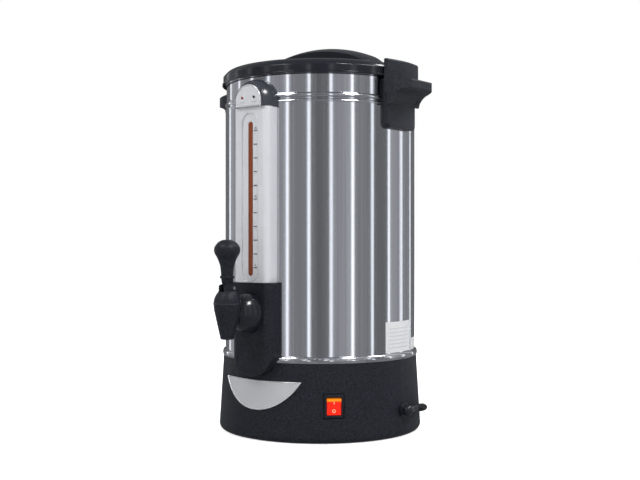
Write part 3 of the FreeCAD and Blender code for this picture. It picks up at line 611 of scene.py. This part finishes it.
# %% Pads under the grips
GRIP_CURVE = [
    (142.45, 445.0), (142.75, 447.5), (143.5, 450.2), (144.85, 452.6), (146.7, 454.5),
    (149.0, 456.3), (151.5, 458.0), (154.0, 459.35), (157.0, 460.1)]
PAD_BACK = [
    (157.0, 463.0), (153.0, 464.5), (146.0, 465.0), (140.0, 461.0), (138.8, 455.0), (140.0, 447.0)]
PAD_HALF = 0.0288
for side, way in (("right", 1), ("left", -1)):
    view = [(way * x * MM, z * MM) for x, z in GRIP_CURVE + PAD_BACK]
    bpy.ops.mesh.primitive_circle_add(vertices=len(view), radius=0.01, fill_type="NGON")
    pad = bpy.context.active_object
    for vertex, (x, z) in zip(pad.data.vertices, view):
        vertex.co = (x, -PAD_HALF, z)
    bpy.ops.object.mode_set(mode="EDIT")
    bpy.ops.mesh.select_all(action="SELECT")
    bpy.ops.mesh.extrude_region_move(TRANSFORM_OT_translate={"value": (0, 2 * PAD_HALF, 0)})
    bpy.ops.mesh.select_all(action="SELECT")
    bpy.ops.mesh.normals_make_consistent(inside=False)
    bpy.ops.object.mode_set(mode="OBJECT")
    # The pads take the handles' lighter copy, whose extra lightness is painted light.
    settle(pad, "grip_pad_" + side, handle_plastic_painted_light)

# %% [markdown]
# Two blank labels are stuck on the drum at the right, low down. A label is a thin sheet bent to
# the drum, so a flat grid is made first and each of its points is then carried round the drum.

# %% Blank labels


def drum_label(name, start, end, low, high, rows):
    """A sheet on the drum between two angles from the front, with faint ruled rows."""
    bpy.ops.mesh.primitive_grid_add(x_subdivisions=24, y_subdivisions=6, size=1)
    sheet = bpy.context.active_object
    for vertex in sheet.data.vertices:
        angle = math.radians(start + (end - start) * (vertex.co.x + 0.5))
        z = low + (high - low) * (vertex.co.y + 0.5)
        r = DRUM_R + 0.00012
        vertex.co = (r * math.sin(angle), -r * math.cos(angle), z)
    only(sheet)
    thick = sheet.modifiers.new("thick", "SOLIDIFY")
    thick.thickness = 0.0002
    thick.offset = 1
    bpy.ops.object.modifier_apply(modifier=thick.name)
    settle(sheet, name, paper)
    for k in range(rows):
        z = low + (high - low) * (0.16 + 0.62 * k / max(rows - 1, 1))
        middle, half = math.radians((start + end) / 2), math.radians((end - start) * 0.4)
        bpy.ops.mesh.primitive_grid_add(x_subdivisions=12, y_subdivisions=1, size=1)
        rule = bpy.context.active_object
        for vertex in rule.data.vertices:
            angle = middle + half * 2 * vertex.co.x
            r = DRUM_R + 0.0004
            vertex.co = (r * math.sin(angle), -r * math.cos(angle), z + 0.0004 * vertex.co.y)
        only(rule)
        ruled = rule.modifiers.new("thick", "SOLIDIFY")
        ruled.thickness = 0.00008
        ruled.offset = 1
        bpy.ops.object.modifier_apply(modifier=ruled.name)
        settle(rule, f"{name}_rule_{k + 1}", grey_print)


drum_label("label_large", 78, 103, 0.1134, 0.1545, 6)
drum_label("label_small", 105.5, 118, 0.1134, 0.129, 2)

# %% [markdown]
# The sheet of the drum is rolled round and welded at the back, which leaves one upright line.
# Under the base, four countersunk screws hold the plate; each has a crossed slot, drawn as a
# flat dark inlay of painted shade, because it is only a few tenths of a millimetre deep.

# %% Seam of the drum
WELD_HALF, WELD_PROUD, WELD_MIDDLE, WELD_LONG = 0.0011, 0.00018, 0.2785, 0.330
bpy.ops.mesh.primitive_grid_add(x_subdivisions=4, y_subdivisions=24, size=1)
weld = bpy.context.active_object
for vertex in weld.data.vertices:
    angle = math.pi + WELD_HALF / DRUM_R * 2 * vertex.co.x
    r = DRUM_R + WELD_PROUD * (1 - abs(2 * vertex.co.x))
    z = WELD_MIDDLE + WELD_LONG * vertex.co.y
    vertex.co = (r * math.sin(angle), -r * math.cos(angle), z)
only(weld)
weld_wall = weld.modifiers.new("thick", "SOLIDIFY")
weld_wall.thickness = 0.0002
weld_wall.offset = 1
bpy.ops.object.modifier_apply(modifier=weld_wall.name)
settle(weld, "drum_weld", steel, smooth=60)

# %% Screws under the base
SCREW_RING, SCREW_COUNT, SCREW_R = 0.118, 4, 0.0042
for k in range(SCREW_COUNT):
    angle = math.radians(20 + 360 / SCREW_COUNT * k)
    place = (SCREW_RING * math.sin(angle), -SCREW_RING * math.cos(angle), 0.00025)
    bpy.ops.mesh.primitive_cone_add(
        vertices=40, radius1=0.0036, radius2=SCREW_R, depth=0.0003, location=place)
    settle(bpy.context.active_object, f"plate_screw_{k + 1}", steel)
    # The crossed slots are painted shade: dark flat inlays where the slots' recesses would be.
    for turn in (0.4, 0.4 + math.pi / 2):
        slot_shade = slab((place[0], place[1], 0.00009), (SCREW_R, 0.0008, 0.00006), turn)
        number = 1 if turn < 1 else 2
        settle(slot_shade, f"plate_screw_{k + 1}_slot_{number}", ink_and_slot_shade)

# %% [markdown]
# The floor is a wide pale sheet. Grey cards stand in a ring round the urn, with one above and one
# on the floor, out of the camera's view: they are only seen in reflections, where they put the
# dark bars between the bright ones, as in a studio.

# %% Floor
bpy.ops.mesh.primitive_plane_add(size=14, location=(0, 0, -0.0002))
floor = bpy.context.active_object
floor.name = "floor"
floor_finish, floor_shader = finish("floor", (0.9, 0.9, 0.91), 0.8)
floor_shader.inputs["Emission Color"].default_value = (1, 1, 1, 1)
to_camera = add(floor_finish, "LightPath")
lift = add(floor_finish, "MapRange")
lift.inputs["To Max"].default_value = 0.6
join(floor_finish, to_camera.outputs["Is Camera Ray"], lift.inputs["Value"])
join(floor_finish, lift.outputs["Result"], floor_shader.inputs["Emission Strength"])
floor.data.materials.append(floor_finish)

# %% Reflection cards


def reflector(name, place, lean, turn, size, value):
    """A plain card that only reflections see."""
    bpy.ops.mesh.primitive_plane_add(size=1, location=place, rotation=(lean, 0, turn))
    flag = bpy.context.active_object
    flag.scale = (*size, 1)
    flag.name = name
    material, shader = finish(name, (0, 0, 0), 1)
    shader.inputs["Specular IOR Level"].default_value = 0
    shader.inputs["Emission Color"].default_value = (value, value * 1.02, value * 1.07, 1)
    shader.inputs["Emission Strength"].default_value = 1
    flag.data.materials.append(material)
    flag.visible_camera = False
    flag.visible_diffuse = False
    flag.visible_shadow = False
    flag.visible_transmission = False


def card(name, start, end, value, away=0.9, tall=1.4):
    """An upright card between two angles from the camera's side."""
    angle = CAMERA_TURN + math.radians((start + end) / 2)
    place = (away * math.sin(angle), -away * math.cos(angle), 0.35)
    wide = 2 * away * math.tan(math.radians((end - start) / 2))
    reflector(name, place, math.radians(90), angle, (wide, tall), value)


reflector("card_above", (0, 0, 2.3), 0, 0, (6, 6), 0.24)
reflector("card_below", (0, 0, -0.0001), 0, 0, (3, 3), 0.22)
# The ring is even: equal grey cards in three tones, with a thin bright strip between each two.
# Behind the urn it stays dark, so that the lid's edge does too.
CARD_COUNT, STRIP_WIDE, STRIP_LEVEL = 15, 3.2, 1.5
CARD_GREYS, BACK_GREY, BACK_FROM = (0.24, 0.16, 0.34), 0.1, 150
card_step = 360 / CARD_COUNT
for k in range(CARD_COUNT):
    start = -180 + k * card_step
    grey = BACK_GREY if abs(start + card_step / 2) > BACK_FROM else CARD_GREYS[k % 3]
    level = BACK_GREY if abs(start) > BACK_FROM else STRIP_LEVEL
    card(f"card_{k + 1}", start + STRIP_WIDE / 2, start + card_step - STRIP_WIDE / 2, grey)
    card(f"strip_{k + 1}", start - STRIP_WIDE / 2, start + STRIP_WIDE / 2, level)

# %% [markdown]
# Four square lamps stand high round the urn and aim at its middle. The one behind is left out of
# reflections, because it would draw a white sickle on the lid's far edge.

# %% Lights


def lamp(name, turn, away, high, size, power, aim=0.25):
    angle = CAMERA_TURN + math.radians(turn)
    data = bpy.data.lights.new(name, "AREA")
    data.shape = "RECTANGLE"
    data.size, data.size_y = size
    data.energy = power
    light = bpy.data.objects.new(name, data)
    light.location = (away * math.sin(angle), -away * math.cos(angle), high)
    towards = Vector((0, 0, aim)) - light.location
    light.rotation_euler = towards.to_track_quat("-Z", "Y").to_euler()
    bpy.context.scene.collection.objects.link(light)
    return light


lamp("key", 44, 1.5, 2.0, (0.5, 0.5), 26)
lamp("fill", -50, 1.6, 1.9, (0.7, 0.7), 18)
lamp("side", 105, 1.6, 2.1, (0.6, 0.6), 20, 0.45)
lamp("back", 170, 1.6, 2.1, (1.2, 0.8), 12).visible_glossy = False

# %% [markdown]
# The world lights the object with a plain white at half strength. The camera, and what metal and
# glass reflect or show, see it at full strength, so that the background stays white.

# %% World
world = bpy.data.worlds.new("world")
world.use_nodes = True
bpy.context.scene.world = world
sky = world.node_tree.nodes["Background"]
sky.inputs["Color"].default_value = (1, 1, 1, 1)
path = add(world, "LightPath")
seen = add(world, "Math", operation="MAXIMUM")
also = add(world, "Math", operation="MAXIMUM")
level = add(world, "MapRange")
level.inputs["To Min"].default_value = 0.5
level.inputs["To Max"].default_value = 1.0
join(world, path.outputs["Is Camera Ray"], seen.inputs[0])
join(world, path.outputs["Is Glossy Ray"], seen.inputs[1])
join(world, seen.outputs["Value"], also.inputs[0])
join(world, path.outputs["Is Transmission Ray"], also.inputs[1])
join(world, also.outputs["Value"], level.inputs["Value"])
join(world, level.outputs["Result"], sky.inputs["Strength"])
bpy.context.scene.view_settings.view_transform = "Standard"

# %% Finish
bpy.context.view_layer.update()
